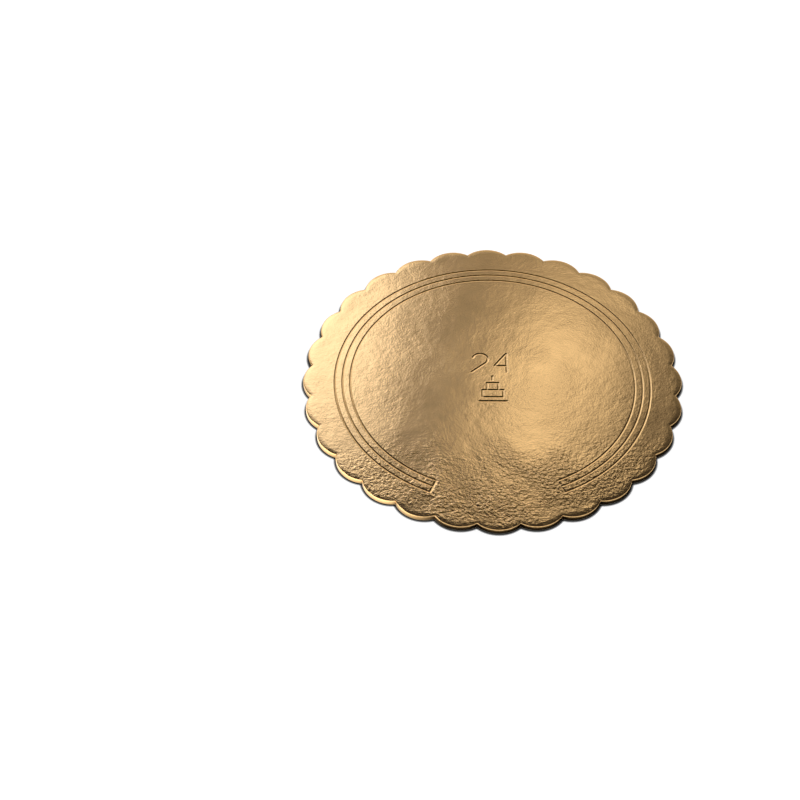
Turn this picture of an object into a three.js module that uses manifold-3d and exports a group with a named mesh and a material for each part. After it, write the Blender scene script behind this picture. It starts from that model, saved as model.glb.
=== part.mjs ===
import * as THREE from "three";
import { mergeVertices, toCreasedNormals } from "three/addons/utils/BufferGeometryUtils.js";
import Module from "manifold-3d";

// Scalloped cake board pressed from one sheet of foil-faced card, in millimetres.
// The underside lies on z = 0 and the origin is the centre of the scalloped outline.
// The front of the board, where the pressed rings stay open, faces -Y.

// Scalloped outline
const boardDiameter = 240; // tip to tip across two opposite lobes
const boardThickness = 4; // underside to top face
const lobeCount = 28; // one lobe is centred on the back of the board
const notchDepth = 4.4; // from a lobe's tip in to the notches beside it

// Rounded top edge
const rimRoundWidth = 1.2; // from the outline in to the flat of the top face
const rimRoundDrop = 1.5; // from the top face down to the upright part of the side

// Pressed rings
const ringCount = 3;
const ringInset = 15.7; // from the notch circle in to the middle of the outer ring
const ringPitch = 4.9; // from one ring to the next
const ringGap = 48; // degrees left open at the front
const ringWidth = 2; // across a groove at the top face
const ringFloor = 0.4; // across the groove's floor
const ringDepth = 0.5;

// Size number, two numerals read from the front
const numeralHeight = 16;
const hookRadius = 4.8; // of the curved head of the two
const hookStart = 165; // degrees from +X to where the stroke of the two begins
const hookLeave = -42; // degrees from +X to where the hook runs on into the diagonal
const footReach = 1; // from the left of the hook out to the lower end of the diagonal
const fourWidth = 7.7; // from the corner of the four to its stem
const fourBarHeight = 5.4; // from the lower end of the stem up to the bar
const numeralSpace = 4.3; // between the two numerals
const numberLift = 14.9; // from the board's centre back to the middle of the number
const numberShift = -1.3; // from the board's centre to the right

// Tiered cake motif below the number
const motifTop = 3.2; // from the board's centre back to the tip of the candle
const candleHeight = 3.2;
const candleGap = 2.5; // between the candle and the upper tier
const tierHeight = 6;
const upperTierWidth = 7.2;
const lowerTierWidth = 13;
const plateGap = 3.5; // between the lower tier and the plate under it
const plateWidth = 17;

// Pressed strokes of the number and the motif
const strokeWidth = 2; // across a stroke at the top face
const strokeFloor = 0.4; // across its floor
const strokeDepth = 0.5;

// Fineness of the curves
const lobeSteps = 8; // along one lobe
const rimSteps = 4; // down the rounded edge
const ringSteps = 104; // along one ring
const strokeEndSteps = 6; // round the end of a stroke
const strokeArcSteps = 16; // along a curved stroke
const creaseAngle = 35; // degrees between two faces, from which their edge is sharp

const boardRadius = boardDiameter / 2;
const notchRadius = boardRadius - notchDepth;
const outerRing = notchRadius - ringInset;
const innerRing = outerRing - (ringCount - 1) * ringPitch;

const wasm = await Module();
wasm.setup();

// A closed geometry as a solid that can be joined and cut.
function solidOf(geometry) {
  geometry.deleteAttribute("normal");
  geometry.deleteAttribute("uv");
  const merged = mergeVertices(geometry);
  return new wasm.Manifold(
    new wasm.Mesh({
      numProp: 3,
      vertProperties: merged.attributes.position.array,
      triVerts: new Uint32Array(merged.index.array),
    }),
  );
}

// A solid's surface as a geometry with smooth curves and sharp edges.
function geometryOf(solid) {
  const { vertProperties, triVerts } = solid.getMesh();
  const geometry = new THREE.BufferGeometry();
  geometry.setAttribute("position", new THREE.BufferAttribute(vertProperties, 3));
  geometry.setIndex(new THREE.BufferAttribute(triVerts, 1));
  return toCreasedNormals(geometry, THREE.MathUtils.degToRad(creaseAngle));
}

// A Shape or Path draws an arc with twice as many steps as its curve segments.
const arcSegments = (steps) => steps / 2;

// Outline of the board: one circular arc for each lobe, meeting its neighbours in sharp notches.
function scallopedShape() {
  const halfLobe = Math.PI / lobeCount;
  const notchAlong = notchRadius * Math.cos(halfLobe);
  const notchAcross = notchRadius * Math.sin(halfLobe);
  const rise = boardRadius - notchAlong;
  const lobeRadius = (rise ** 2 + notchAcross ** 2) / (2 * rise);
  const lobeCentre = boardRadius - lobeRadius;
  const halfSweep = Math.atan2(notchAcross, notchAlong - lobeCentre);
  const shape = new THREE.Shape();
  for (let lobe = 0; lobe < lobeCount; lobe++) {
    const towards = Math.PI / 2 + lobe * 2 * halfLobe;
    shape.absarc(
      lobeCentre * Math.cos(towards),
      lobeCentre * Math.sin(towards),
      lobeRadius,
      towards - halfSweep,
      towards + halfSweep,
      false,
    );
  }
  return shape;
}

// The plain board: an upright side, a rounded top edge and a flat underside.
function boardSolid() {
  const rounded = new THREE.ExtrudeGeometry(scallopedShape(), {
    depth: boardThickness,
    curveSegments: arcSegments(lobeSteps),
    bevelThickness: rimRoundDrop,
    bevelSize: rimRoundWidth,
    bevelOffset: -rimRoundWidth,
    bevelSegments: rimSteps,
  });
  rounded.translate(0, 0, -rimRoundDrop);
  const belowBoard = new THREE.BoxGeometry(boardDiameter * 2, boardDiameter * 2, boardThickness * 2);
  belowBoard.translate(0, 0, -boardThickness);
  const below = solidOf(belowBoard);
  const board = solidOf(rounded);
  return board.subtract(below);
}

// The tool that presses a shape into the top face, with walls that slope in to the groove's floor.
function pressTool(shape, width, floor, depth, steps) {
  const wall = (width - floor) / 2;
  const tool = new THREE.ExtrudeGeometry(shape, {
    depth,
    curveSegments: arcSegments(steps),
    bevelThickness: depth,
    bevelSize: wall,
    bevelOffset: -wall,
    bevelSegments: 1,
  });
  tool.translate(0, 0, boardThickness);
  return solidOf(tool);
}

// A band round the board's centre between two radii, open at the front. Its ends run along the
// radial lines at the two sides of the ring gap, moved outwards into the gap by endOffset.
function openBand(band, inner, outer, endOffset) {
  const halfGap = THREE.MathUtils.degToRad(ringGap / 2);
  const start = -Math.PI / 2 + halfGap;
  const end = (3 * Math.PI) / 2 - halfGap;
  const turn = (radius) => Math.asin(endOffset / radius);
  band.absarc(0, 0, outer, start - turn(outer), end + turn(outer), false);
  band.absarc(0, 0, inner, end + turn(inner), start - turn(inner), true);
  band.closePath();
  return band;
}

// The rings as one tool: a band with the bands between its grooves left standing, so that a short
// radial groove closes the rings at both ends.
function ringTool() {
  const half = ringWidth / 2;
  const shape = openBand(new THREE.Shape(), innerRing - half, outerRing + half, half);
  for (let ring = 1; ring < ringCount; ring++) {
    const inner = innerRing + (ring - 1) * ringPitch + half;
    const outer = innerRing + ring * ringPitch - half;
    shape.holes.push(openBand(new THREE.Path(), inner, outer, -half));
  }
  return pressTool(shape, ringWidth, ringFloor, ringDepth, ringSteps);
}

// A straight stroke with round ends.
function straightStroke(x0, y0, x1, y1) {
  const along = Math.atan2(y1 - y0, x1 - x0);
  const half = strokeWidth / 2;
  const shape = new THREE.Shape();
  shape.absarc(x1, y1, half, along - Math.PI / 2, along + Math.PI / 2, false);
  shape.absarc(x0, y0, half, along + Math.PI / 2, along + (3 * Math.PI) / 2, false);
  shape.closePath();
  return pressTool(shape, strokeWidth, strokeFloor, strokeDepth, strokeEndSteps);
}

// A stroke along an arc that runs anticlockwise from one angle to another, in degrees.
function arcStroke(x, y, radius, fromDegrees, toDegrees) {
  const from = THREE.MathUtils.degToRad(fromDegrees);
  const to = THREE.MathUtils.degToRad(toDegrees);
  const half = strokeWidth / 2;
  const endX = x + radius * Math.cos(to);
  const endY = y + radius * Math.sin(to);
  const startX = x + radius * Math.cos(from);
  const startY = y + radius * Math.sin(from);
  const shape = new THREE.Shape();
  shape.absarc(x, y, radius + half, from, to, false);
  shape.absarc(endX, endY, half, to, to + Math.PI, false);
  shape.absarc(x, y, radius - half, to, from, true);
  shape.absarc(startX, startY, half, from + Math.PI, from + 2 * Math.PI, false);
  shape.closePath();
  return pressTool(shape, strokeWidth, strokeFloor, strokeDepth, strokeArcSteps);
}

// The numeral two: a hook that runs on into a diagonal, without a foot. The left of its hook is at
// x and its lower end at y.
function numeralTwo(x, y) {
  const centreX = x + hookRadius;
  const centreY = y + numeralHeight - hookRadius;
  const leave = THREE.MathUtils.degToRad(hookLeave);
  const leaveX = centreX + hookRadius * Math.cos(leave);
  const leaveY = centreY + hookRadius * Math.sin(leave);
  return [
    arcStroke(centreX, centreY, hookRadius, hookLeave, hookStart),
    straightStroke(leaveX, leaveY, x - footReach, y),
  ];
}

// The numeral four: a diagonal, a bar and a stem. Its corner is at x and its lower end at y.
function numeralFour(x, y) {
  const stemX = x + fourWidth;
  const barY = y + fourBarHeight;
  const topY = y + numeralHeight;
  return [
    straightStroke(stemX, topY, x, barY),
    straightStroke(x, barY, stemX, barY),
    straightStroke(stemX, topY, stemX, y),
  ];
}

// The number, centred on its place behind the board's centre.
function numberTools() {
  const twoWidth = 2 * hookRadius;
  const left = numberShift - (twoWidth + numeralSpace + fourWidth) / 2;
  const bottom = numberLift - numeralHeight / 2;
  return [...numeralTwo(left, bottom), ...numeralFour(left + twoWidth + numeralSpace, bottom)];
}

// A tier of the cake motif: its top and its two sides.
function tierTools(width, top) {
  const half = width / 2;
  const bottom = top - tierHeight;
  return [
    straightStroke(-half, top, half, top),
    straightStroke(-half, top, -half, bottom),
    straightStroke(half, top, half, bottom),
  ];
}

// The motif: a candle over two tiers that stand on a plate.
function motifTools() {
  const candleFoot = motifTop - candleHeight;
  const upperTop = candleFoot - candleGap;
  const lowerTop = upperTop - tierHeight;
  const lowerBottom = lowerTop - tierHeight;
  const plateY = lowerBottom - plateGap;
  const halfLower = lowerTierWidth / 2;
  const halfPlate = plateWidth / 2;
  return [
    straightStroke(0, motifTop, 0, candleFoot),
    ...tierTools(upperTierWidth, upperTop),
    ...tierTools(lowerTierWidth, lowerTop),
    straightStroke(-halfLower, lowerBottom, halfLower, lowerBottom),
    straightStroke(-halfPlate, plateY, halfPlate, plateY),
  ];
}

const goldFoil = new THREE.MeshStandardMaterial({ color: 0xd8ae74, roughness: 0.32, metalness: 1 });
goldFoil.name = "gold foil";

const pressed = [ringTool(), ...numberTools(), ...motifTools()];
const cakeBoard = pressed.reduce((board, tool) => board.subtract(tool), boardSolid());

const mesh = new THREE.Mesh(geometryOf(cakeBoard), goldFoil);
mesh.name = "cake_board";

const group = new THREE.Group();
group.name = "scalloped cake board";
group.add(mesh);

export default group;
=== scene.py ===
"""A scalloped cake board faced with gold foil, lying on a pale studio floor."""

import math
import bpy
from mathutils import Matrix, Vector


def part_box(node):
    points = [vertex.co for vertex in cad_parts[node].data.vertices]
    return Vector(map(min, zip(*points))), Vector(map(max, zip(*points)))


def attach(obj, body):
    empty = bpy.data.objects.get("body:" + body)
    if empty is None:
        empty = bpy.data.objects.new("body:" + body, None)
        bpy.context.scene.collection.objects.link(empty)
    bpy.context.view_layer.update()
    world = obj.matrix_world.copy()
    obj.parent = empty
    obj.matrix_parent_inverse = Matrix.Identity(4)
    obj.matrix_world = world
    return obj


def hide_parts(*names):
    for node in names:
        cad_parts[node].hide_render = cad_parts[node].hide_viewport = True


bl_info = {
    "name": "Foil-Faced Cake Board",
    "version": (1, 0, 0),
    "blender": (4, 5, 0),
    "location": "View3D > Sidebar > Cake Board",
    "description": "Builds a scalloped cake board with pressed rings and a small studio around it",
    "category": "Add Mesh",
}

import bmesh
import bpy
from bpy.props import FloatProperty, FloatVectorProperty, IntProperty, PointerProperty
from mathutils import Euler, Matrix, Vector, noise

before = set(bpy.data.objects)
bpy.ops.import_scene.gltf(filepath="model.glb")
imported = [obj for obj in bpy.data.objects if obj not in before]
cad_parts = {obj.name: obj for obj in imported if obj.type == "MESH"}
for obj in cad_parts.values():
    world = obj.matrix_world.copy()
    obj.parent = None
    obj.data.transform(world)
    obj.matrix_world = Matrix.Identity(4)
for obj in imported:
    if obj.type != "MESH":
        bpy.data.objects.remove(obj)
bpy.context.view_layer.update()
BOARD_NODE = "cake_board"
LOWEST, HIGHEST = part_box(BOARD_NODE)

MM = 0.001
FULL_TURN = 2 * math.pi
FRONT = -math.pi / 2  # the direction of -Y, measured from +X
FOIL, CARD = 0, 1  # the board's material slots

# Fineness of the mesh
LINES_PER_LOBE = 24  # mesh lines that run out to the rim in each lobe
CORE_SPACING = 0.3 * MM  # between the mesh lines under the number and the motif
CORE_CENTRE = Vector((-1 * MM, 2.5 * MM))
CORE_CELLS_X = 150
RING_STEPS = 8  # across one ring's groove
LAND_STEPS = 2  # between two grooves
FIELD_STEP = 2.2 * MM  # across the plain parts of the face
ROUND_STEPS = 7  # down the rounded edge
SIDE_STEPS = 2  # down the upright side
HEEL_STEPS = 2  # round the edge of the underside
GATHER_SHARE = 0.75  # how much closer the mesh lines lie at the ends of the rings
GATHER_WIDTH = math.radians(2.5)  # how far from an end they are drawn to it
NOTCH_NEARNESS = 0.2  # mesh spacings from a notch within which a mesh line counts as on it
FLAT_SHARE = 0.02  # of the rounded edge's drop, down to where it still counts as face
LEVEL = 0.0001 * MM  # difference in height below which an edge runs level

# Places on the face
WAVE_MARGIN = 6 * MM  # from the rounded edge in to where the card is wavy in full
MARK_REACH = 30 * MM  # from the centre out past the number and the motif

# Patches of the foil, calm ones and worked ones
PATCH_SIZE = 30 * MM
PATCH_EDGES = (0.35, 0.65)  # values of the noise between which calm turns into worked
CALM_WRINKLES = 0.4  # share of the wrinkles' height in a calm patch
WORKED_WRINKLES = 1.6  # share of it in a worked patch
PATCH_ROUGHNESS = 0.06  # change of the roughness over the range of the noise
WORKED_SHADE = 0.97  # brightness of the foil's colour in a worked patch
CREASE_ZONE = (35 * MM, 85 * MM)  # distances in front of the centre where the creases set in

# Surface of the bare card
CLOUD_SIZE = 12 * MM
CLOUD_SHADES = (0.92, 1.08)  # brightness of the card's colour in darker and lighter clouds
FIBRE_SIZE = 0.6 * MM
FIBRE_HEIGHT = 0.02 * MM
SPECK_SIZE = 1.1 * MM
SPECK_EDGES = (0.70, 0.78)  # values of the noise between which a speck sets in
SPECK_STRENGTH = 0.35
SPECK_COLOUR = (0.25, 0.20, 0.14)
CARD_ROUGHNESS = 0.85

# The board's shade, painted on the floor's colour and glow. The powers say how fast it sets in
# near the board.
PAINTED_SHADE_COLOUR = (0.02, 0.02, 0.02)  # painted shade: the floor's colour right beside the board, darkened in place of the board's shadow
PAINTED_SHADE_POWER = 14
CONTACT_POWER = 8
SPILL_POWER = 2
SPILL_STRENGTH = 3.0  # of the painted light in the floor's glow that the foil mirrors at the front left
SPILL_LEFT = (30 * MM, 75 * MM)  # distances to the left of the centre where it sets in
SPILL_FRONT = (-25 * MM, 25 * MM)  # distances in front of the centre where it sets in

# Light of the room
CEILING_RISE = (math.radians(26), math.radians(50))  # elevations where the ceiling sets in
BACK_WALL_AZIMUTH = math.radians(-20)  # of the middle of the bright back wall
BACK_WALL_EDGES = (0.35, 0.9)  # cosines of the angle to it between which it sets in
FRONT_WALL_EDGES = (0.1, 0.7)  # shares of the way to the front between which it sets in
FRONT_WALL_STRENGTH = 0.45
WALL_DIMMING = 0.96  # of the other walls, towards the ceiling's light
WHITE = (1.0, 1.0, 1.0)


class BoardSizes(bpy.types.PropertyGroup):
    """Sizes of the board and of the rings pressed into it."""

    diameter: FloatProperty(
        name="Diameter",
        description="Tip to tip across two opposite lobes",
        default=HIGHEST[0] - LOWEST[0],
        unit="LENGTH",
    )
    thickness: FloatProperty(
        name="Thickness",
        description="Underside to top face",
        default=HIGHEST[2] - LOWEST[2],
        unit="LENGTH",
    )
    lobe_count: IntProperty(
        name="Lobes",
        description="Number of lobes round the rim",
        default=28,
        min=3,
    )
    notch_depth: FloatProperty(
        name="Notch Depth",
        description="From a lobe's tip in to the notches beside it",
        default=4.4 * MM,
        unit="LENGTH",
    )
    round_width: FloatProperty(
        name="Rounding Width",
        description="From the outline in to where the rounding of the top edge starts",
        default=0.7 * MM,
        unit="LENGTH",
    )
    round_drop: FloatProperty(
        name="Rounding Drop",
        description="From the top face down to the upright part of the side",
        default=0.9 * MM,
        unit="LENGTH",
    )
    heel: FloatProperty(
        name="Heel",
        description="Rounding of the edge between the side and the underside",
        default=0.35 * MM,
        unit="LENGTH",
    )
    bare_edge: FloatProperty(
        name="Bare Edge",
        description="Height of the card left bare at the bottom of the side",
        default=0.5 * MM,
        unit="LENGTH",
    )
    ring_count: IntProperty(
        name="Rings",
        description="Number of pressed rings",
        default=3,
        min=1,
    )
    ring_inset: FloatProperty(
        name="Ring Inset",
        description="From the notch circle in to the middle of the outer ring",
        default=15.7 * MM,
        unit="LENGTH",
    )
    ring_pitch: FloatProperty(
        name="Ring Pitch",
        description="From one ring to the next",
        default=4.9 * MM,
        unit="LENGTH",
    )
    ring_gap: FloatProperty(
        name="Ring Gap",
        description="Angle over which the rings stay open at the front",
        default=math.radians(48),
        subtype="ANGLE",
    )
    ring_width: FloatProperty(
        name="Ring Width",
        description="Across one ring's groove at the top face",
        default=1.5 * MM,
        unit="LENGTH",
    )
    ring_depth: FloatProperty(
        name="Ring Depth",
        description="Depth of a ring's groove",
        default=0.28 * MM,
        unit="LENGTH",
    )
    waviness: FloatProperty(
        name="Waviness",
        description="Most that the face dips where the card is wavy",
        default=0.12 * MM,
        unit="LENGTH",
    )
    wave_length: FloatProperty(
        name="Wave Length",
        description="Size of the waves of the card",
        default=26 * MM,
        unit="LENGTH",
    )


class MarkSizes(bpy.types.PropertyGroup):
    """Sizes and places of the number and the cake motif pressed into the middle of the face."""

    numeral_height: FloatProperty(
        name="Numeral Height",
        description="Height of the two numerals",
        default=16 * MM,
        unit="LENGTH",
    )
    hook_radius: FloatProperty(
        name="Hook Radius",
        description="Radius of the curved head of the two",
        default=4.8 * MM,
        unit="LENGTH",
    )
    hook_start: FloatProperty(
        name="Hook Start",
        description="Angle at which the stroke of the two begins",
        default=math.radians(165),
        subtype="ANGLE",
    )
    hook_leave: FloatProperty(
        name="Hook Leave",
        description="Angle at which the hook runs on into the diagonal",
        default=math.radians(-42),
        subtype="ANGLE",
    )
    foot_reach: FloatProperty(
        name="Foot Reach",
        description="From the left of the hook out to the lower end of the diagonal",
        default=1 * MM,
        unit="LENGTH",
    )
    four_width: FloatProperty(
        name="Four Width",
        description="From the corner of the four to its stem",
        default=7.7 * MM,
        unit="LENGTH",
    )
    four_bar_height: FloatProperty(
        name="Four Bar Height",
        description="From the lower end of the four's stem up to its bar",
        default=5.4 * MM,
        unit="LENGTH",
    )
    numeral_space: FloatProperty(
        name="Numeral Space",
        description="Space between the two numerals",
        default=4.3 * MM,
        unit="LENGTH",
    )
    number_lift: FloatProperty(
        name="Number Lift",
        description="From the board's centre back to the middle of the number",
        default=14.9 * MM,
        unit="LENGTH",
    )
    number_shift: FloatProperty(
        name="Number Shift",
        description="From the board's centre to the middle of the number, to the right",
        default=-1.3 * MM,
        unit="LENGTH",
    )
    motif_top: FloatProperty(
        name="Motif Top",
        description="From the board's centre back to the tip of the candle",
        default=3.2 * MM,
        unit="LENGTH",
    )
    candle_height: FloatProperty(
        name="Candle Height",
        description="Length of the candle's stroke",
        default=3.2 * MM,
        unit="LENGTH",
    )
    candle_gap: FloatProperty(
        name="Candle Gap",
        description="Between the candle and the upper tier",
        default=2.5 * MM,
        unit="LENGTH",
    )
    tier_height: FloatProperty(
        name="Tier Height",
        description="Height of each tier",
        default=6 * MM,
        unit="LENGTH",
    )
    upper_tier_width: FloatProperty(
        name="Upper Tier Width",
        description="Width of the upper tier",
        default=7.2 * MM,
        unit="LENGTH",
    )
    lower_tier_width: FloatProperty(
        name="Lower Tier Width",
        description="Width of the lower tier",
        default=13 * MM,
        unit="LENGTH",
    )
    plate_gap: FloatProperty(
        name="Plate Gap",
        description="Between the lower tier and the plate under it",
        default=3.5 * MM,
        unit="LENGTH",
    )
    plate_width: FloatProperty(
        name="Plate Width",
        description="Width of the plate",
        default=17 * MM,
        unit="LENGTH",
    )
    stroke_width: FloatProperty(
        name="Stroke Width",
        description="Across a pressed stroke at the top face",
        default=1.8 * MM,
        unit="LENGTH",
    )
    stroke_depth: FloatProperty(
        name="Stroke Depth",
        description="Depth of a pressed stroke",
        default=0.32 * MM,
        unit="LENGTH",
    )


class FinishSettings(bpy.types.PropertyGroup):
    """Colours and surface of the foil and of the card under it."""

    foil_colour: FloatVectorProperty(
        name="Foil Colour",
        description="Colour of the gold foil",
        default=(0.80, 0.509, 0.221),
        size=3,
        min=0,
        max=1,
        subtype="COLOR",
    )
    foil_roughness: FloatProperty(
        name="Foil Roughness",
        description="Roughness of the foil between its wrinkles",
        default=0.17,
        min=0,
        max=1,
        subtype="FACTOR",
    )
    ripple_height: FloatProperty(
        name="Ripple Height",
        description="Height of the ripples of the foil",
        default=0.03 * MM,
        unit="LENGTH",
    )
    ripple_size: FloatProperty(
        name="Ripple Size",
        description="Size of the ripples of the foil",
        default=7 * MM,
        unit="LENGTH",
    )
    wrinkle_height: FloatProperty(
        name="Wrinkle Height",
        description="Height of the small wrinkles of the foil",
        default=0.016 * MM,
        unit="LENGTH",
    )
    wrinkle_size: FloatProperty(
        name="Wrinkle Size",
        description="Size of the small wrinkles of the foil",
        default=2.4 * MM,
        unit="LENGTH",
    )
    crease_height: FloatProperty(
        name="Crease Height",
        description="Height of the creases of the foil at the front of the board",
        default=0.085 * MM,
        unit="LENGTH",
    )
    crease_size: FloatProperty(
        name="Crease Size",
        description="Size of the creases of the foil at the front of the board",
        default=2.1 * MM,
        unit="LENGTH",
    )
    peel_height: FloatProperty(
        name="Peel Height",
        description="Height of the finest texture of the foil",
        default=0.007 * MM,
        unit="LENGTH",
    )
    peel_size: FloatProperty(
        name="Peel Size",
        description="Size of the finest texture of the foil",
        default=1.2 * MM,
        unit="LENGTH",
    )
    card_colour: FloatVectorProperty(
        name="Card Colour",
        description="Colour of the bare card",
        default=(0.56, 0.53, 0.47),
        size=3,
        min=0,
        max=1,
        subtype="COLOR",
    )


class StudioSettings(bpy.types.PropertyGroup):
    """Camera, floor and light."""

    camera_place: FloatVectorProperty(
        name="Camera Place",
        description="Where the camera stands",
        default=(-0.0586, -0.7800, 0.8549),
        size=3,
        subtype="TRANSLATION",
    )
    camera_tilt: FloatProperty(
        name="Camera Tilt",
        description="Angle of the camera up from looking straight down",
        default=math.radians(41.881),
        subtype="ANGLE",
    )
    lens: FloatProperty(
        name="Lens",
        description="Focal length in millimetres",
        default=81.94,
        min=1,
    )
    floor_size: FloatProperty(
        name="Floor Size",
        description="Length of the floor's sides",
        default=8.0,
        unit="LENGTH",
    )
    floor_colour: FloatVectorProperty(
        name="Floor Colour",
        description="Colour of the floor",
        default=(0.85, 0.85, 0.85),
        size=3,
        min=0,
        max=1,
        subtype="COLOR",
    )
    floor_glow: FloatProperty(
        name="Floor Glow",
        description="Light that the floor adds for the camera, so that it shows white",
        default=1.0,
        min=0,
    )
    # The floor's shade within this reach is painted into its colour and into the glow the foil
    # mirrors.
    shadow_reach: FloatProperty(
        name="Shadow Reach",
        description="How far from the board the floor lies in its shade",
        default=12 * MM,
        unit="LENGTH",
    )
    # The dark line under the board is a painted contact shadow in the floor's glow.
    contact_reach: FloatProperty(
        name="Contact Reach",
        description="How far from the board the camera sees the dark line under it",
        default=1.7 * MM,
        unit="LENGTH",
    )
    room_colour: FloatVectorProperty(
        name="Room Colour",
        description="Light that comes from the walls of the room",
        default=(1.2, 1.17, 1.12),
        size=3,
        min=0,
        subtype="COLOR",
    )
    ceiling_colour: FloatVectorProperty(
        name="Ceiling Colour",
        description="Light that comes from the ceiling of the room",
        default=(0.035, 0.033, 0.03),
        size=3,
        min=0,
        max=1,
        subtype="COLOR",
    )


class Value:
    """A number that varies over a surface. Its arithmetic adds Math nodes to the material."""

    def __init__(self, shader, socket):
        self.shader = shader
        self.socket = socket

    def _math(self, operation, *operands):
        node = self.shader.add("ShaderNodeMath", dict(enumerate(operands)), operation=operation)
        return self.shader.value(node)

    def __add__(self, other):
        return self._math("ADD", self, other)

    def __sub__(self, other):
        return self._math("SUBTRACT", self, other)

    def __mul__(self, other):
        return self._math("MULTIPLY", self, other)

    def __pow__(self, other):
        return self._math("POWER", self, other)

    def __rsub__(self, other):
        return self._math("SUBTRACT", other, self)

    __radd__ = __add__
    __rmul__ = __mul__

    def most(self, other):
        return self._math("MAXIMUM", self, other)


class Shader:
    """The nodes of one material, world or lamp."""

    def __init__(self, owner):
        owner.use_nodes = True
        self.tree = owner.node_tree
        self.tree.nodes.clear()

    def add(self, kind, sockets=None, **settings):
        """Adds a node, makes its settings and fills its sockets with values or links."""
        node = self.tree.nodes.new(kind)
        for name, setting in settings.items():
            setattr(node, name, setting)
        for name, filling in (sockets or {}).items():
            if isinstance(filling, Value):
                filling = filling.socket
            if isinstance(filling, bpy.types.NodeSocket):
                self.tree.links.new(filling, node.inputs[name])
            else:
                node.inputs[name].default_value = filling
        return node

    def value(self, node, output=0):
        return Value(self, node.outputs[output])

    def place(self):
        """Object coordinates, in metres in the board's frame."""
        return self.add("ShaderNodeTexCoord").outputs["Object"]

    def axis(self, vector, name):
        """One coordinate of a vector."""
        return self.value(self.add("ShaderNodeSeparateXYZ", {"Vector": vector}), name)

    def noise(self, place, size, detail, roughness=0.5, distortion=0.0):
        """Noise from 0 to 1 whose features are about size across."""
        node = self.add(
            "ShaderNodeTexNoise",
            {
                "Vector": place,
                "Scale": 1.0 / size,
                "Detail": detail,
                "Roughness": roughness,
                "Distortion": distortion,
            },
        )
        return self.value(node, "Fac")

    def ramp(self, value, low, high):
        """Rises smoothly from 0 at low to 1 at high."""
        node = self.add(
            "ShaderNodeMapRange",
            {"Value": value, "From Min": low, "From Max": high, "To Min": 0.0, "To Max": 1.0},
            interpolation_type="SMOOTHSTEP",
        )
        return self.value(node)

    def openness(self, reach):
        """1 in the open, less where something stands within reach."""
        node = self.add("ShaderNodeAmbientOcclusion", {"Distance": reach}, samples=16)
        return self.value(node, "AO")

    def mix(self, factor, first, second):
        """A colour between two colours. A Mix node's colours have sockets of their own."""
        factor_socket, first_socket, second_socket, result = 0, 6, 7, 2
        sockets = {factor_socket: factor, first_socket: first, second_socket: second}
        return self.add("ShaderNodeMix", sockets, data_type="RGBA").outputs[result]

    def bump(self, height):
        """The normal of a surface with a height in metres."""
        sockets = {"Strength": 1.0, "Distance": 1.0, "Height": height}
        return self.add("ShaderNodeBump", sockets).outputs[0]

    def finish(self, kind, surface):
        """Ends the nodes with an output of this kind."""
        self.add(kind, {"Surface": surface.outputs[0]})


def rgba(colour, brightness=1.0):
    """A colour for a shader, made brighter or darker."""
    return (*[channel * brightness for channel in colour], 1.0)


def foil_material(finish):
    """Gold foil: a metal with a soft gloss, rippled and wrinkled, and creased at the front."""
    material = bpy.data.materials.new("gold_foil")
    shader = Shader(material)
    place = shader.place()
    ripples = shader.noise(place, finish.ripple_size, detail=1.0)
    wrinkles = shader.noise(place, finish.wrinkle_size, detail=3.0, roughness=0.6)
    creases = shader.noise(place, finish.crease_size, detail=2.0, roughness=0.55, distortion=0.3)
    peel = shader.noise(place, finish.peel_size, detail=1.0)
    patches = shader.noise(place, PATCH_SIZE, detail=3.0)
    patchy = shader.ramp(patches, *PATCH_EDGES)
    worked = CALM_WRINKLES + patchy * (WORKED_WRINKLES - CALM_WRINKLES)
    creased = shader.ramp(-1 * shader.axis(place, "Y"), *CREASE_ZONE)
    height = (
        ripples * (2 * finish.ripple_height)
        + worked * wrinkles * (2 * finish.wrinkle_height)
        + worked * creased * creases * (2 * finish.crease_height)
        + peel * (2 * finish.peel_height)
    )
    surface = shader.add(
        "ShaderNodeBsdfPrincipled",
        {
            "Base Color": shader.mix(
                patchy,
                rgba(finish.foil_colour),
                rgba(finish.foil_colour, WORKED_SHADE),
            ),
            "Metallic": 1.0,
            "Roughness": finish.foil_roughness + (patches - 0.5) * PATCH_ROUGHNESS,
            "Normal": shader.bump(height),
        },
    )
    shader.finish("ShaderNodeOutputMaterial", surface)
    return material


def card_material(finish):
    """Bare grey-white card: matt, with fine fibres and a few darker specks."""
    material = bpy.data.materials.new("bare_card")
    shader = Shader(material)
    place = shader.place()
    clouds = shader.noise(place, CLOUD_SIZE, detail=4.0)
    fibres = shader.noise(place, FIBRE_SIZE, detail=3.0, distortion=1.5)
    specks = shader.ramp(shader.noise(place, SPECK_SIZE, detail=0.0), *SPECK_EDGES)
    darker, lighter = (rgba(finish.card_colour, shade) for shade in CLOUD_SHADES)
    base = shader.mix(clouds, darker, lighter)
    surface = shader.add(
        "ShaderNodeBsdfPrincipled",
        {
            "Base Color": shader.mix(specks * SPECK_STRENGTH, base, rgba(SPECK_COLOUR)),
            "Roughness": CARD_ROUGHNESS,
            "Normal": shader.bump(fibres * FIBRE_HEIGHT),
        },
    )
    shader.finish("ShaderNodeOutputMaterial", surface)
    return material


class StraightStroke:
    """A straight pressed line between two points."""

    def __init__(self, x0, y0, x1, y1):
        self.start = Vector((x0, y0))
        self.run = Vector((x1 - x0, y1 - y0))

    def distance(self, point):
        offset = point - self.start
        share = offset.dot(self.run) / self.run.length_squared
        return (offset - self.run * min(1.0, max(0.0, share))).length


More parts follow.
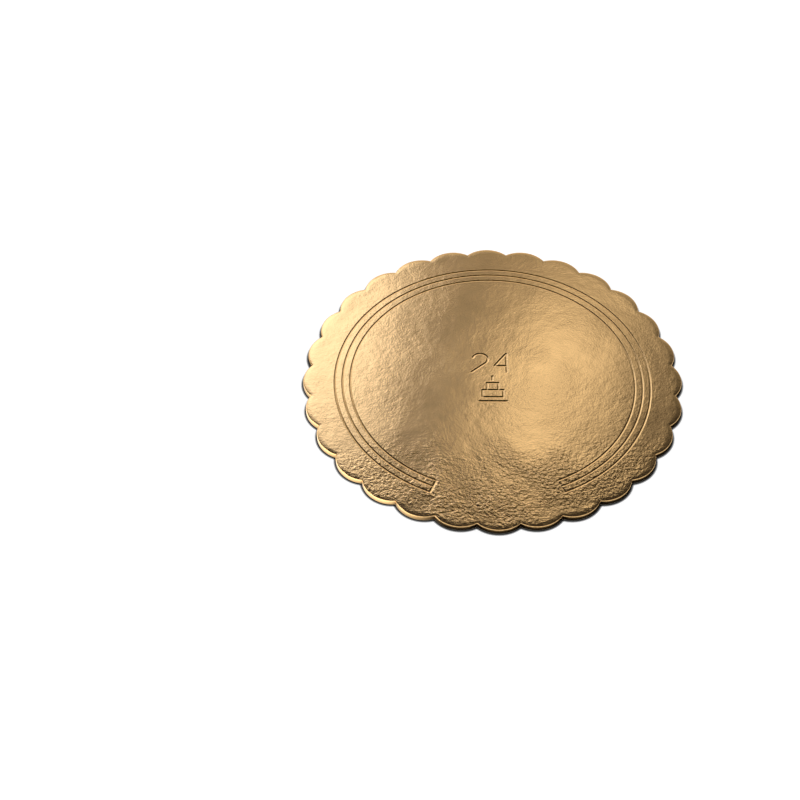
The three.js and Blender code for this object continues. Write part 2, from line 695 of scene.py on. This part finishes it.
class ArcStroke:
    """A pressed line along an arc that runs anticlockwise from one angle to another."""

    def __init__(self, x, y, radius, start, end):
        self.centre = Vector((x, y))
        self.radius = radius
        self.start = start
        self.sweep = end - start
        self.ends = [self._point(start), self._point(end)]

    def _point(self, angle):
        return self.centre + self.radius * Vector((math.cos(angle), math.sin(angle)))

    def distance(self, point):
        offset = point - self.centre
        turned = (math.atan2(offset.y, offset.x) - self.start) % FULL_TURN
        if turned <= self.sweep:
            return abs(offset.length - self.radius)
        return min((point - end).length for end in self.ends)


class Pressing:
    """Lines pressed into the face with one width and depth, inside a ring-shaped zone."""

    def __init__(self, strokes, width, depth, inner, outer):
        self.strokes = strokes
        self.half = width / 2
        self.depth = depth
        self.inner = inner
        self.outer = outer

    def drop(self, point):
        """How far the pressing lowers the face at a point."""
        if not self.inner <= point.length < self.outer:
            return 0.0
        nearest = min(stroke.distance(point) for stroke in self.strokes)
        if nearest >= self.half:
            return 0.0
        return self.depth * (1 + math.cos(math.pi * nearest / self.half)) / 2


def ring_radii(sizes):
    """The middles of the pressed rings, from the inner one out."""
    outer = sizes.diameter / 2 - sizes.notch_depth - sizes.ring_inset
    return [outer - step * sizes.ring_pitch for step in reversed(range(sizes.ring_count))]


def ring_ends(sizes):
    """The two angles at which the rings start and end, going anticlockwise."""
    return FRONT + sizes.ring_gap / 2, FRONT + FULL_TURN - sizes.ring_gap / 2


def ring_pressing(sizes):
    """The rings, closed at both ends by a short radial line."""
    radii = ring_radii(sizes)
    start, end = ring_ends(sizes)
    strokes = [ArcStroke(0, 0, radius, start, end) for radius in radii]
    for angle in (start, end):
        along = Vector((math.cos(angle), math.sin(angle)))
        strokes.append(StraightStroke(*(along * radii[0]), *(along * radii[-1])))
    half = sizes.ring_width / 2
    return Pressing(strokes, sizes.ring_width, sizes.ring_depth, radii[0] - half, radii[-1] + half)


def numeral_two(marks, x, y):
    """A hook that runs on into a diagonal, without a foot."""
    radius = marks.hook_radius
    centre_x = x + radius
    centre_y = y + marks.numeral_height - radius
    leave_x = centre_x + radius * math.cos(marks.hook_leave)
    leave_y = centre_y + radius * math.sin(marks.hook_leave)
    return [
        ArcStroke(centre_x, centre_y, radius, marks.hook_leave, marks.hook_start),
        StraightStroke(leave_x, leave_y, x - marks.foot_reach, y),
    ]


def numeral_four(marks, x, y):
    """A diagonal, a bar and a stem."""
    stem_x = x + marks.four_width
    bar_y = y + marks.four_bar_height
    top_y = y + marks.numeral_height
    return [
        StraightStroke(stem_x, top_y, x, bar_y),
        StraightStroke(x, bar_y, stem_x, bar_y),
        StraightStroke(stem_x, top_y, stem_x, y),
    ]


def number_strokes(marks):
    """The size number, centred on its place behind the board's centre."""
    two_width = 2 * marks.hook_radius
    left = marks.number_shift - (two_width + marks.numeral_space + marks.four_width) / 2
    bottom = marks.number_lift - marks.numeral_height / 2
    four_left = left + two_width + marks.numeral_space
    return numeral_two(marks, left, bottom) + numeral_four(marks, four_left, bottom)


def tier_strokes(width, top, height):
    """The top and the two sides of one tier of the motif."""
    half = width / 2
    bottom = top - height
    return [
        StraightStroke(-half, top, half, top),
        StraightStroke(-half, top, -half, bottom),
        StraightStroke(half, top, half, bottom),
    ]


def motif_strokes(marks):
    """A candle over two tiers that stand on a plate."""
    candle_foot = marks.motif_top - marks.candle_height
    upper_top = candle_foot - marks.candle_gap
    lower_top = upper_top - marks.tier_height
    lower_bottom = lower_top - marks.tier_height
    plate_y = lower_bottom - marks.plate_gap
    half_lower = marks.lower_tier_width / 2
    half_plate = marks.plate_width / 2
    return [
        StraightStroke(0, marks.motif_top, 0, candle_foot),
        *tier_strokes(marks.upper_tier_width, upper_top, marks.tier_height),
        *tier_strokes(marks.lower_tier_width, lower_top, marks.tier_height),
        StraightStroke(-half_lower, lower_bottom, half_lower, lower_bottom),
        StraightStroke(-half_plate, plate_y, half_plate, plate_y),
    ]


def mark_pressing(marks):
    """The number and the motif in the middle of the face."""
    strokes = number_strokes(marks) + motif_strokes(marks)
    return Pressing(strokes, marks.stroke_width, marks.stroke_depth, 0.0, MARK_REACH)


class BoardForm:
    """Where the board's surface lies: its outline, its face and what is pressed into it."""

    def __init__(self, sizes, marks):
        self.sizes = sizes
        self.pressings = [ring_pressing(sizes), mark_pressing(marks)]
        radius = sizes.diameter / 2
        notch_radius = radius - sizes.notch_depth
        self.half_lobe = math.pi / sizes.lobe_count
        along = notch_radius * math.cos(self.half_lobe)
        across = notch_radius * math.sin(self.half_lobe)
        rise = radius - along
        self.lobe_radius = (rise**2 + across**2) / (2 * rise)
        self.lobe_centre = radius - self.lobe_radius

    def outline(self, angle, inset):
        """Distance from the centre to the outline, moved in by inset."""
        turn = (angle + self.half_lobe) % (2 * self.half_lobe) - self.half_lobe
        reach = (self.lobe_radius - inset) ** 2 - (self.lobe_centre * math.sin(turn)) ** 2
        return self.lobe_centre * math.cos(turn) + math.sqrt(reach)

    def face_point(self, radius, angle):
        """A point of the top face."""
        return self.on_face(Vector((radius * math.cos(angle), radius * math.sin(angle))))

    def on_face(self, flat):
        """The point of the top face at a place, lowered by the card's waves and the pressings."""
        sizes = self.sizes
        place = Vector((flat.x, flat.y, 0.0)) / sizes.wave_length
        wave = sizes.waviness * (0.5 + 0.5 * noise.noise(place))
        edge = sizes.diameter / 2 - sizes.notch_depth - sizes.round_width
        wave *= min(1.0, max(0.0, (edge - flat.length) / WAVE_MARGIN))
        drop = max(pressing.drop(flat) for pressing in self.pressings)
        return Vector((flat.x, flat.y, sizes.thickness - wave - drop))


def gathered(angle, centres):
    """Moves an angle towards the nearest of the centres, so that mesh lines lie closer there."""
    for centre in centres:
        off = (angle - centre + math.pi) % FULL_TURN - math.pi
        angle -= off * GATHER_SHARE * math.exp(-((off / GATHER_WIDTH) ** 2))
    return angle


def core_grid(bm, form, line_count):
    """The middle of the face as a fine grid. Returns its border, anticlockwise from +X."""
    cells_y = line_count // 2 - CORE_CELLS_X
    bmesh.ops.create_grid(bm, x_segments=CORE_CELLS_X, y_segments=cells_y, size=0.5)
    stretch = Vector((CORE_CELLS_X * CORE_SPACING, cells_y * CORE_SPACING, 1.0))
    bmesh.ops.scale(bm, vec=stretch, verts=bm.verts)
    border = [vert for vert in bm.verts if vert.is_boundary]
    tiny = 1e-6  # keeps the vertex that lies on +X the first one
    border.sort(key=lambda vert: (math.atan2(vert.co.y, vert.co.x) + tiny) % FULL_TURN)
    for vert in bm.verts:
        vert.co = form.on_face(vert.co.xy + CORE_CENTRE)
    return border


def grow(bm, loop, places, material=FOIL, smooth=True):
    """Extrudes a closed loop and moves the new vertices to their places. Returns the new loop."""
    edges = [bm.edges.get((loop[index - 1], loop[index])) for index in range(len(loop))]
    made = bmesh.ops.extrude_edge_only(bm, edges=edges)["geom"]
    new_verts = {item for item in made if isinstance(item, bmesh.types.BMVert)}
    grown = []
    for vert in loop:
        twins = [edge.other_vert(vert) for edge in vert.link_edges]
        grown.append(next(twin for twin in twins if twin in new_verts))
    for vert, place in zip(grown, places):
        vert.co = place
    for item in made:
        if isinstance(item, bmesh.types.BMFace):
            item.material_index = material
            item.smooth = smooth
    return grown


def between(start, end, step):
    """Evenly spaced values after start, up to and including end."""
    count = max(1, round((end - start) / step))
    return [start + (end - start) * (index + 1) / count for index in range(count)]


def ring_stations(sizes):
    """Distances from the centre at which the mesh lines circle through the ring zone."""
    half = sizes.ring_width / 2
    step = sizes.ring_width / RING_STEPS
    radii = ring_radii(sizes)
    stations = [radii[0] - half - step]
    for ring, radius in enumerate(radii):
        stations += between(radius - half - step, radius + half + step, step)
        if ring + 1 < len(radii):
            land_end = radii[ring + 1] - half - step
            land = land_end - stations[-1]
            stations += between(stations[-1], land_end, land / LAND_STEPS)
    return stations


def grow_face(bm, form, loop, angles):
    """The face from the core out through the rings to the start of the rounded edge."""
    sizes = form.sizes
    ends = ring_ends(sizes)
    closer = [gathered(angle, ends) for angle in angles]
    stations = ring_stations(sizes)
    core_places = [vert.co.xy for vert in loop]
    core_reach = min(place.length for place in core_places)
    for station in between(core_reach, stations[0], FIELD_STEP):
        share = (station - core_reach) / (stations[0] - core_reach)
        rounder = share * share * (3 - 2 * share)
        places = []
        for core, angle, close in zip(core_places, angles, closer):
            turned = angle + (close - angle) * rounder
            circle = stations[0] * Vector((math.cos(turned), math.sin(turned)))
            places.append(form.on_face(core + (circle - core) * share))
        loop = grow(bm, loop, places)
    for station in stations[1:]:
        loop = grow(bm, loop, [form.face_point(station, angle) for angle in closer])
    rim = [form.outline(angle, sizes.round_width) for angle in angles]
    for share in between(0.0, 1.0, FIELD_STEP / (min(rim) - stations[-1])):
        places = []
        for angle, close, reach in zip(angles, closer, rim):
            radius = stations[-1] + (reach - stations[-1]) * share
            places.append(form.face_point(radius, close + (angle - close) * share))
        loop = grow(bm, loop, places)
    return loop


def rim_loop(form, angles, inset, height):
    """One contour of the rim, moved in by inset."""
    places = []
    for angle in angles:
        radius = form.outline(angle, inset)
        places.append(Vector((radius * math.cos(angle), radius * math.sin(angle), height)))
    return places


def grow_rim(bm, form, loop, angles):
    """The rounded top edge, the upright side, the heel and the underside."""
    sizes = form.sizes
    for share in between(0.0, 1.0, 1.0 / ROUND_STEPS):
        slope = share * math.pi / 2
        inset = sizes.round_width * (1 - math.sin(slope))
        height = sizes.thickness - sizes.round_drop * (1 - math.cos(slope))
        loop = grow(bm, loop, rim_loop(form, angles, inset, height), FOIL)
    top = sizes.thickness - sizes.round_drop
    for drop in between(0.0, top - sizes.bare_edge, (top - sizes.bare_edge) / SIDE_STEPS):
        loop = grow(bm, loop, rim_loop(form, angles, 0.0, top - drop), FOIL)
    loop = grow(bm, loop, rim_loop(form, angles, 0.0, sizes.heel), CARD)
    for share in between(0.0, 1.0, 1.0 / HEEL_STEPS):
        slope = share * math.pi / 2
        inset = sizes.heel * (1 - math.cos(slope))
        height = sizes.heel * (1 - math.sin(slope))
        loop = grow(bm, loop, rim_loop(form, angles, inset, height), CARD)
    inner = ring_radii(sizes)[0]
    flat = [Vector((inner * math.cos(angle), inner * math.sin(angle), 0.0)) for angle in angles]
    loop = grow(bm, loop, flat, CARD, smooth=False)
    underside = bmesh.ops.contextual_create(bm, geom=loop)["faces"][0]
    underside.material_index = CARD
    underside.smooth = False


def sharpen_notches(bm, form):
    """Marks the creases that run down the rim at the notches as sharp."""
    flat_top = form.sizes.thickness - FLAT_SHARE * form.sizes.round_drop
    for edge in bm.edges:
        first, second = (vert.co for vert in edge.verts)
        if max(first.z, second.z) > flat_top or abs(first.z - second.z) < LEVEL:
            continue
        angle = math.atan2(first.y, first.x)
        off_notch = (angle / (2 * form.half_lobe)) % 1.0 - 0.5
        if abs(off_notch) < NOTCH_NEARNESS / LINES_PER_LOBE:
            edge.smooth = False


def board_mesh(sizes, marks):
    """The whole board as one closed mesh."""
    form = BoardForm(sizes, marks)
    line_count = LINES_PER_LOBE * sizes.lobe_count
    angles = [FULL_TURN * line / line_count for line in range(line_count)]
    bm = bmesh.new()
    loop = core_grid(bm, form, line_count)
    for face in bm.faces:
        face.smooth = True
    loop = grow_face(bm, form, loop, angles)
    grow_rim(bm, form, loop, angles)
    sharpen_notches(bm, form)
    bmesh.ops.recalc_face_normals(bm, faces=bm.faces)
    mesh = bpy.data.meshes.new("foil_board")
    bm.to_mesh(mesh)
    bm.free()
    return mesh


class CAKEBOARD_OT_foil_board(bpy.types.Operator):
    """Build the foil-faced board"""

    bl_idname = "cakeboard.foil_board"
    bl_label = "Foil-Faced Board"

    def execute(self, context):
        scene = context.scene
        mesh = board_mesh(scene.board_sizes, scene.mark_sizes)
        mesh.materials.append(foil_material(scene.board_finish))
        mesh.materials.append(card_material(scene.board_finish))
        board = bpy.data.objects.new("foil_board", mesh)
        scene.collection.objects.link(board)
        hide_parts(BOARD_NODE)
        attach(board, "root")
        return {"FINISHED"}


def floor_material(studio):
    """A matt pale floor, with painted shade near the board in its colour. The camera sees it white
    up to a painted dark contact shadow close to the board. The foil mirrors a wider painted shade
    on it, and a painted patch of bright light at the front left."""
    material = bpy.data.materials.new("pale_floor")
    shader = Shader(material)
    path = shader.add("ShaderNodeLightPath")
    mirrored = shader.value(path, "Is Glossy Ray")
    seen = shader.value(path, "Is Camera Ray").most(mirrored)
    seen = seen.most(shader.value(path, "Is Transmission Ray"))
    contact = shader.openness(studio.contact_reach)
    openness = shader.openness(studio.shadow_reach)
    # Painted shade: the floor's colour and the glow that the foil mirrors darken near the board.
    painted_shade = openness**PAINTED_SHADE_POWER
    place = shader.place()
    # Painted light: a bright patch at the front left in the glow that only the foil sees.
    leftwards = shader.ramp(-1 * shader.axis(place, "X"), *SPILL_LEFT)
    frontwards = shader.ramp(-1 * shader.axis(place, "Y"), *SPILL_FRONT)
    painted_spill = leftwards * frontwards * openness**SPILL_POWER * SPILL_STRENGTH
    # Painted contact shadow for the camera; painted shade and painted light for the foil.
    shade = contact**CONTACT_POWER * (1 - mirrored) + painted_shade.most(painted_spill) * mirrored
    colour = shader.mix(painted_shade, rgba(PAINTED_SHADE_COLOUR), rgba(studio.floor_colour))
    matt = shader.add("ShaderNodeBsdfDiffuse", {"Color": colour})
    glow = shader.add("ShaderNodeEmission", {"Strength": seen * shade * studio.floor_glow})
    both = shader.add("ShaderNodeAddShader", {0: matt.outputs[0], 1: glow.outputs[0]})
    shader.finish("ShaderNodeOutputMaterial", both)
    return material


def add_floor(scene, studio):
    mesh = bpy.data.meshes.new("floor")
    bm = bmesh.new()
    bmesh.ops.create_grid(bm, x_segments=1, y_segments=1, size=studio.floor_size / 2)
    bm.to_mesh(mesh)
    bm.free()
    mesh.materials.append(floor_material(studio))
    floor = bpy.data.objects.new("floor", mesh)
    scene.collection.objects.link(floor)


def direction(azimuth, elevation):
    """The direction at an azimuth from +Y towards +X and an elevation above the floor."""
    return Vector(
        (
            math.sin(azimuth) * math.cos(elevation),
            math.cos(azimuth) * math.cos(elevation),
            math.sin(elevation),
        )
    )


def room_light(scene, studio):
    """Light from the room: a bright back wall, a softer front wall, dim walls elsewhere and a
    dark ceiling. The camera sees it as white."""
    world = bpy.data.worlds.new("room")
    scene.world = world
    shader = Shader(world)
    towards = shader.add("ShaderNodeTexCoord").outputs["Generated"]
    ceiling_edges = [math.sin(elevation) for elevation in CEILING_RISE]
    ceiling = shader.ramp(shader.axis(towards, "Z"), *ceiling_edges)
    facing = shader.add(
        "ShaderNodeVectorMath",
        {0: towards, 1: direction(BACK_WALL_AZIMUTH, 0.0)},
        operation="DOT_PRODUCT",
    )
    back_wall = shader.ramp(shader.value(facing, "Value"), *BACK_WALL_EDGES)
    front_wall = shader.ramp(-1 * shader.axis(towards, "Y"), *FRONT_WALL_EDGES)
    lit = back_wall.most(front_wall * FRONT_WALL_STRENGTH)
    room = shader.mix(
        ceiling.most((1 - lit) * WALL_DIMMING),
        rgba(studio.room_colour),
        rgba(studio.ceiling_colour),
    )
    path = shader.add("ShaderNodeLightPath")
    colour = shader.mix(shader.value(path, "Is Camera Ray"), room, rgba(WHITE))
    light = shader.add("ShaderNodeBackground", {"Color": colour})
    shader.finish("ShaderNodeOutputWorld", light)


class Softbox:
    """A rectangular lamp that faces the board and fades towards its edges. Angles are in
    degrees, and fade is the share of the lamp that fades at its left, right, bottom and top."""

    def __init__(self, name, azimuth, elevation, distance, width, height, brightness, roll=0.0,
                 fade=(0.3, 0.3, 0.3, 0.3), colour=WHITE):
        self.name = name
        self.towards = direction(math.radians(azimuth), math.radians(elevation))
        self.distance = distance
        self.width = width
        self.height = height
        self.brightness = brightness
        self.roll = math.radians(roll)
        self.fade = fade
        self.colour = colour

    def light(self, shader):
        """Light of one colour that fades at the four edges."""
        spot = shader.add("ShaderNodeNewGeometry").outputs["Parametric"]
        across = shader.axis(spot, "X")
        up = shader.axis(spot, "Y")
        left, right, bottom, top = self.fade
        glow = (
            shader.ramp(across, 0.0, right)
            * shader.ramp(1.0 - across, 0.0, left)
            * shader.ramp(up, 0.0, bottom)
            * shader.ramp(1.0 - up, 0.0, top)
        )
        return shader.add("ShaderNodeEmission", {"Color": rgba(self.colour), "Strength": glow})

    def build(self, scene):
        lamp = bpy.data.lights.new(self.name, "AREA")
        lamp.shape = "RECTANGLE"
        lamp.size = self.width
        lamp.size_y = self.height
        lamp.energy = self.brightness * math.pi * self.width * self.height
        shader = Shader(lamp)
        shader.finish("ShaderNodeOutputLight", self.light(shader))
        box = bpy.data.objects.new(self.name, lamp)
        turn = self.towards.to_track_quat("Z", "Y").to_matrix().to_4x4()
        spin = Matrix.Rotation(self.roll, 4, "Z")
        box.matrix_world = Matrix.Translation(self.towards * self.distance) @ turn @ spin
        scene.collection.objects.link(box)


SOFTBOXES = (
    Softbox("back_softbox", azimuth=9.7, elevation=47.9, distance=1.8, width=0.30, height=0.46,
            brightness=1.66, roll=-20.0, fade=(0.3, 0.6, 0.4, 0.3)),
    Softbox("left_softbox", azimuth=-19.2, elevation=42.5, distance=1.8, width=0.8, height=0.54,
            brightness=1.97, roll=-22.0, fade=(0.7, 0.06, 0.09, 0.29), colour=(0.93, 1.0, 1.22)),
    Softbox("side_softbox", azimuth=-102.0, elevation=30.0, distance=1.6, width=0.9, height=0.5,
            brightness=5.0),
)


def add_camera(scene, studio):
    lens = bpy.data.cameras.new("camera")
    lens.lens = studio.lens
    lens.sensor_width = 36.0
    lens.clip_start = 0.01
    camera = bpy.data.objects.new("camera", lens)
    camera.location = studio.camera_place
    camera.rotation_euler = Euler((studio.camera_tilt, 0.0, 0.0))
    scene.collection.objects.link(camera)
    scene.camera = camera


class CAKEBOARD_OT_studio(bpy.types.Operator):
    """Build the floor, the lamps and the camera"""

    bl_idname = "cakeboard.studio"
    bl_label = "Studio"

    def execute(self, context):
        scene = context.scene
        studio = scene.studio
        scene.view_settings.view_transform = "Standard"
        add_floor(scene, studio)
        room_light(scene, studio)
        for softbox in SOFTBOXES:
            softbox.build(scene)
        add_camera(scene, studio)
        return {"FINISHED"}


class CAKEBOARD_PT_panel(bpy.types.Panel):
    """The board's operators and settings"""

    bl_idname = "CAKEBOARD_PT_panel"
    bl_label = "Cake Board"
    bl_space_type = "VIEW_3D"
    bl_region_type = "UI"
    bl_category = "Cake Board"

    def draw(self, context):
        layout = self.layout
        layout.operator(CAKEBOARD_OT_foil_board.bl_idname)
        layout.operator(CAKEBOARD_OT_studio.bl_idname)
        for group in SETTINGS:
            box = layout.box()
            box.label(text=SETTINGS[group].__doc__)
            settings = getattr(context.scene, group)
            for name in settings.__annotations__:
                box.prop(settings, name)


SETTINGS = {
    "board_sizes": BoardSizes,
    "mark_sizes": MarkSizes,
    "board_finish": FinishSettings,
    "studio": StudioSettings,
}
CLASSES = (
    *SETTINGS.values(),
    CAKEBOARD_OT_foil_board,
    CAKEBOARD_OT_studio,
    CAKEBOARD_PT_panel,
)


def register():
    for cls in CLASSES:
        bpy.utils.register_class(cls)
    for name, group in SETTINGS.items():
        setattr(bpy.types.Scene, name, PointerProperty(type=group))


def unregister():
    for name in SETTINGS:
        delattr(bpy.types.Scene, name)
    for cls in reversed(CLASSES):
        bpy.utils.unregister_class(cls)


def main():
    register()
    bpy.ops.cakeboard.foil_board()
    bpy.ops.cakeboard.studio()


if __name__ == "__main__":
    main()
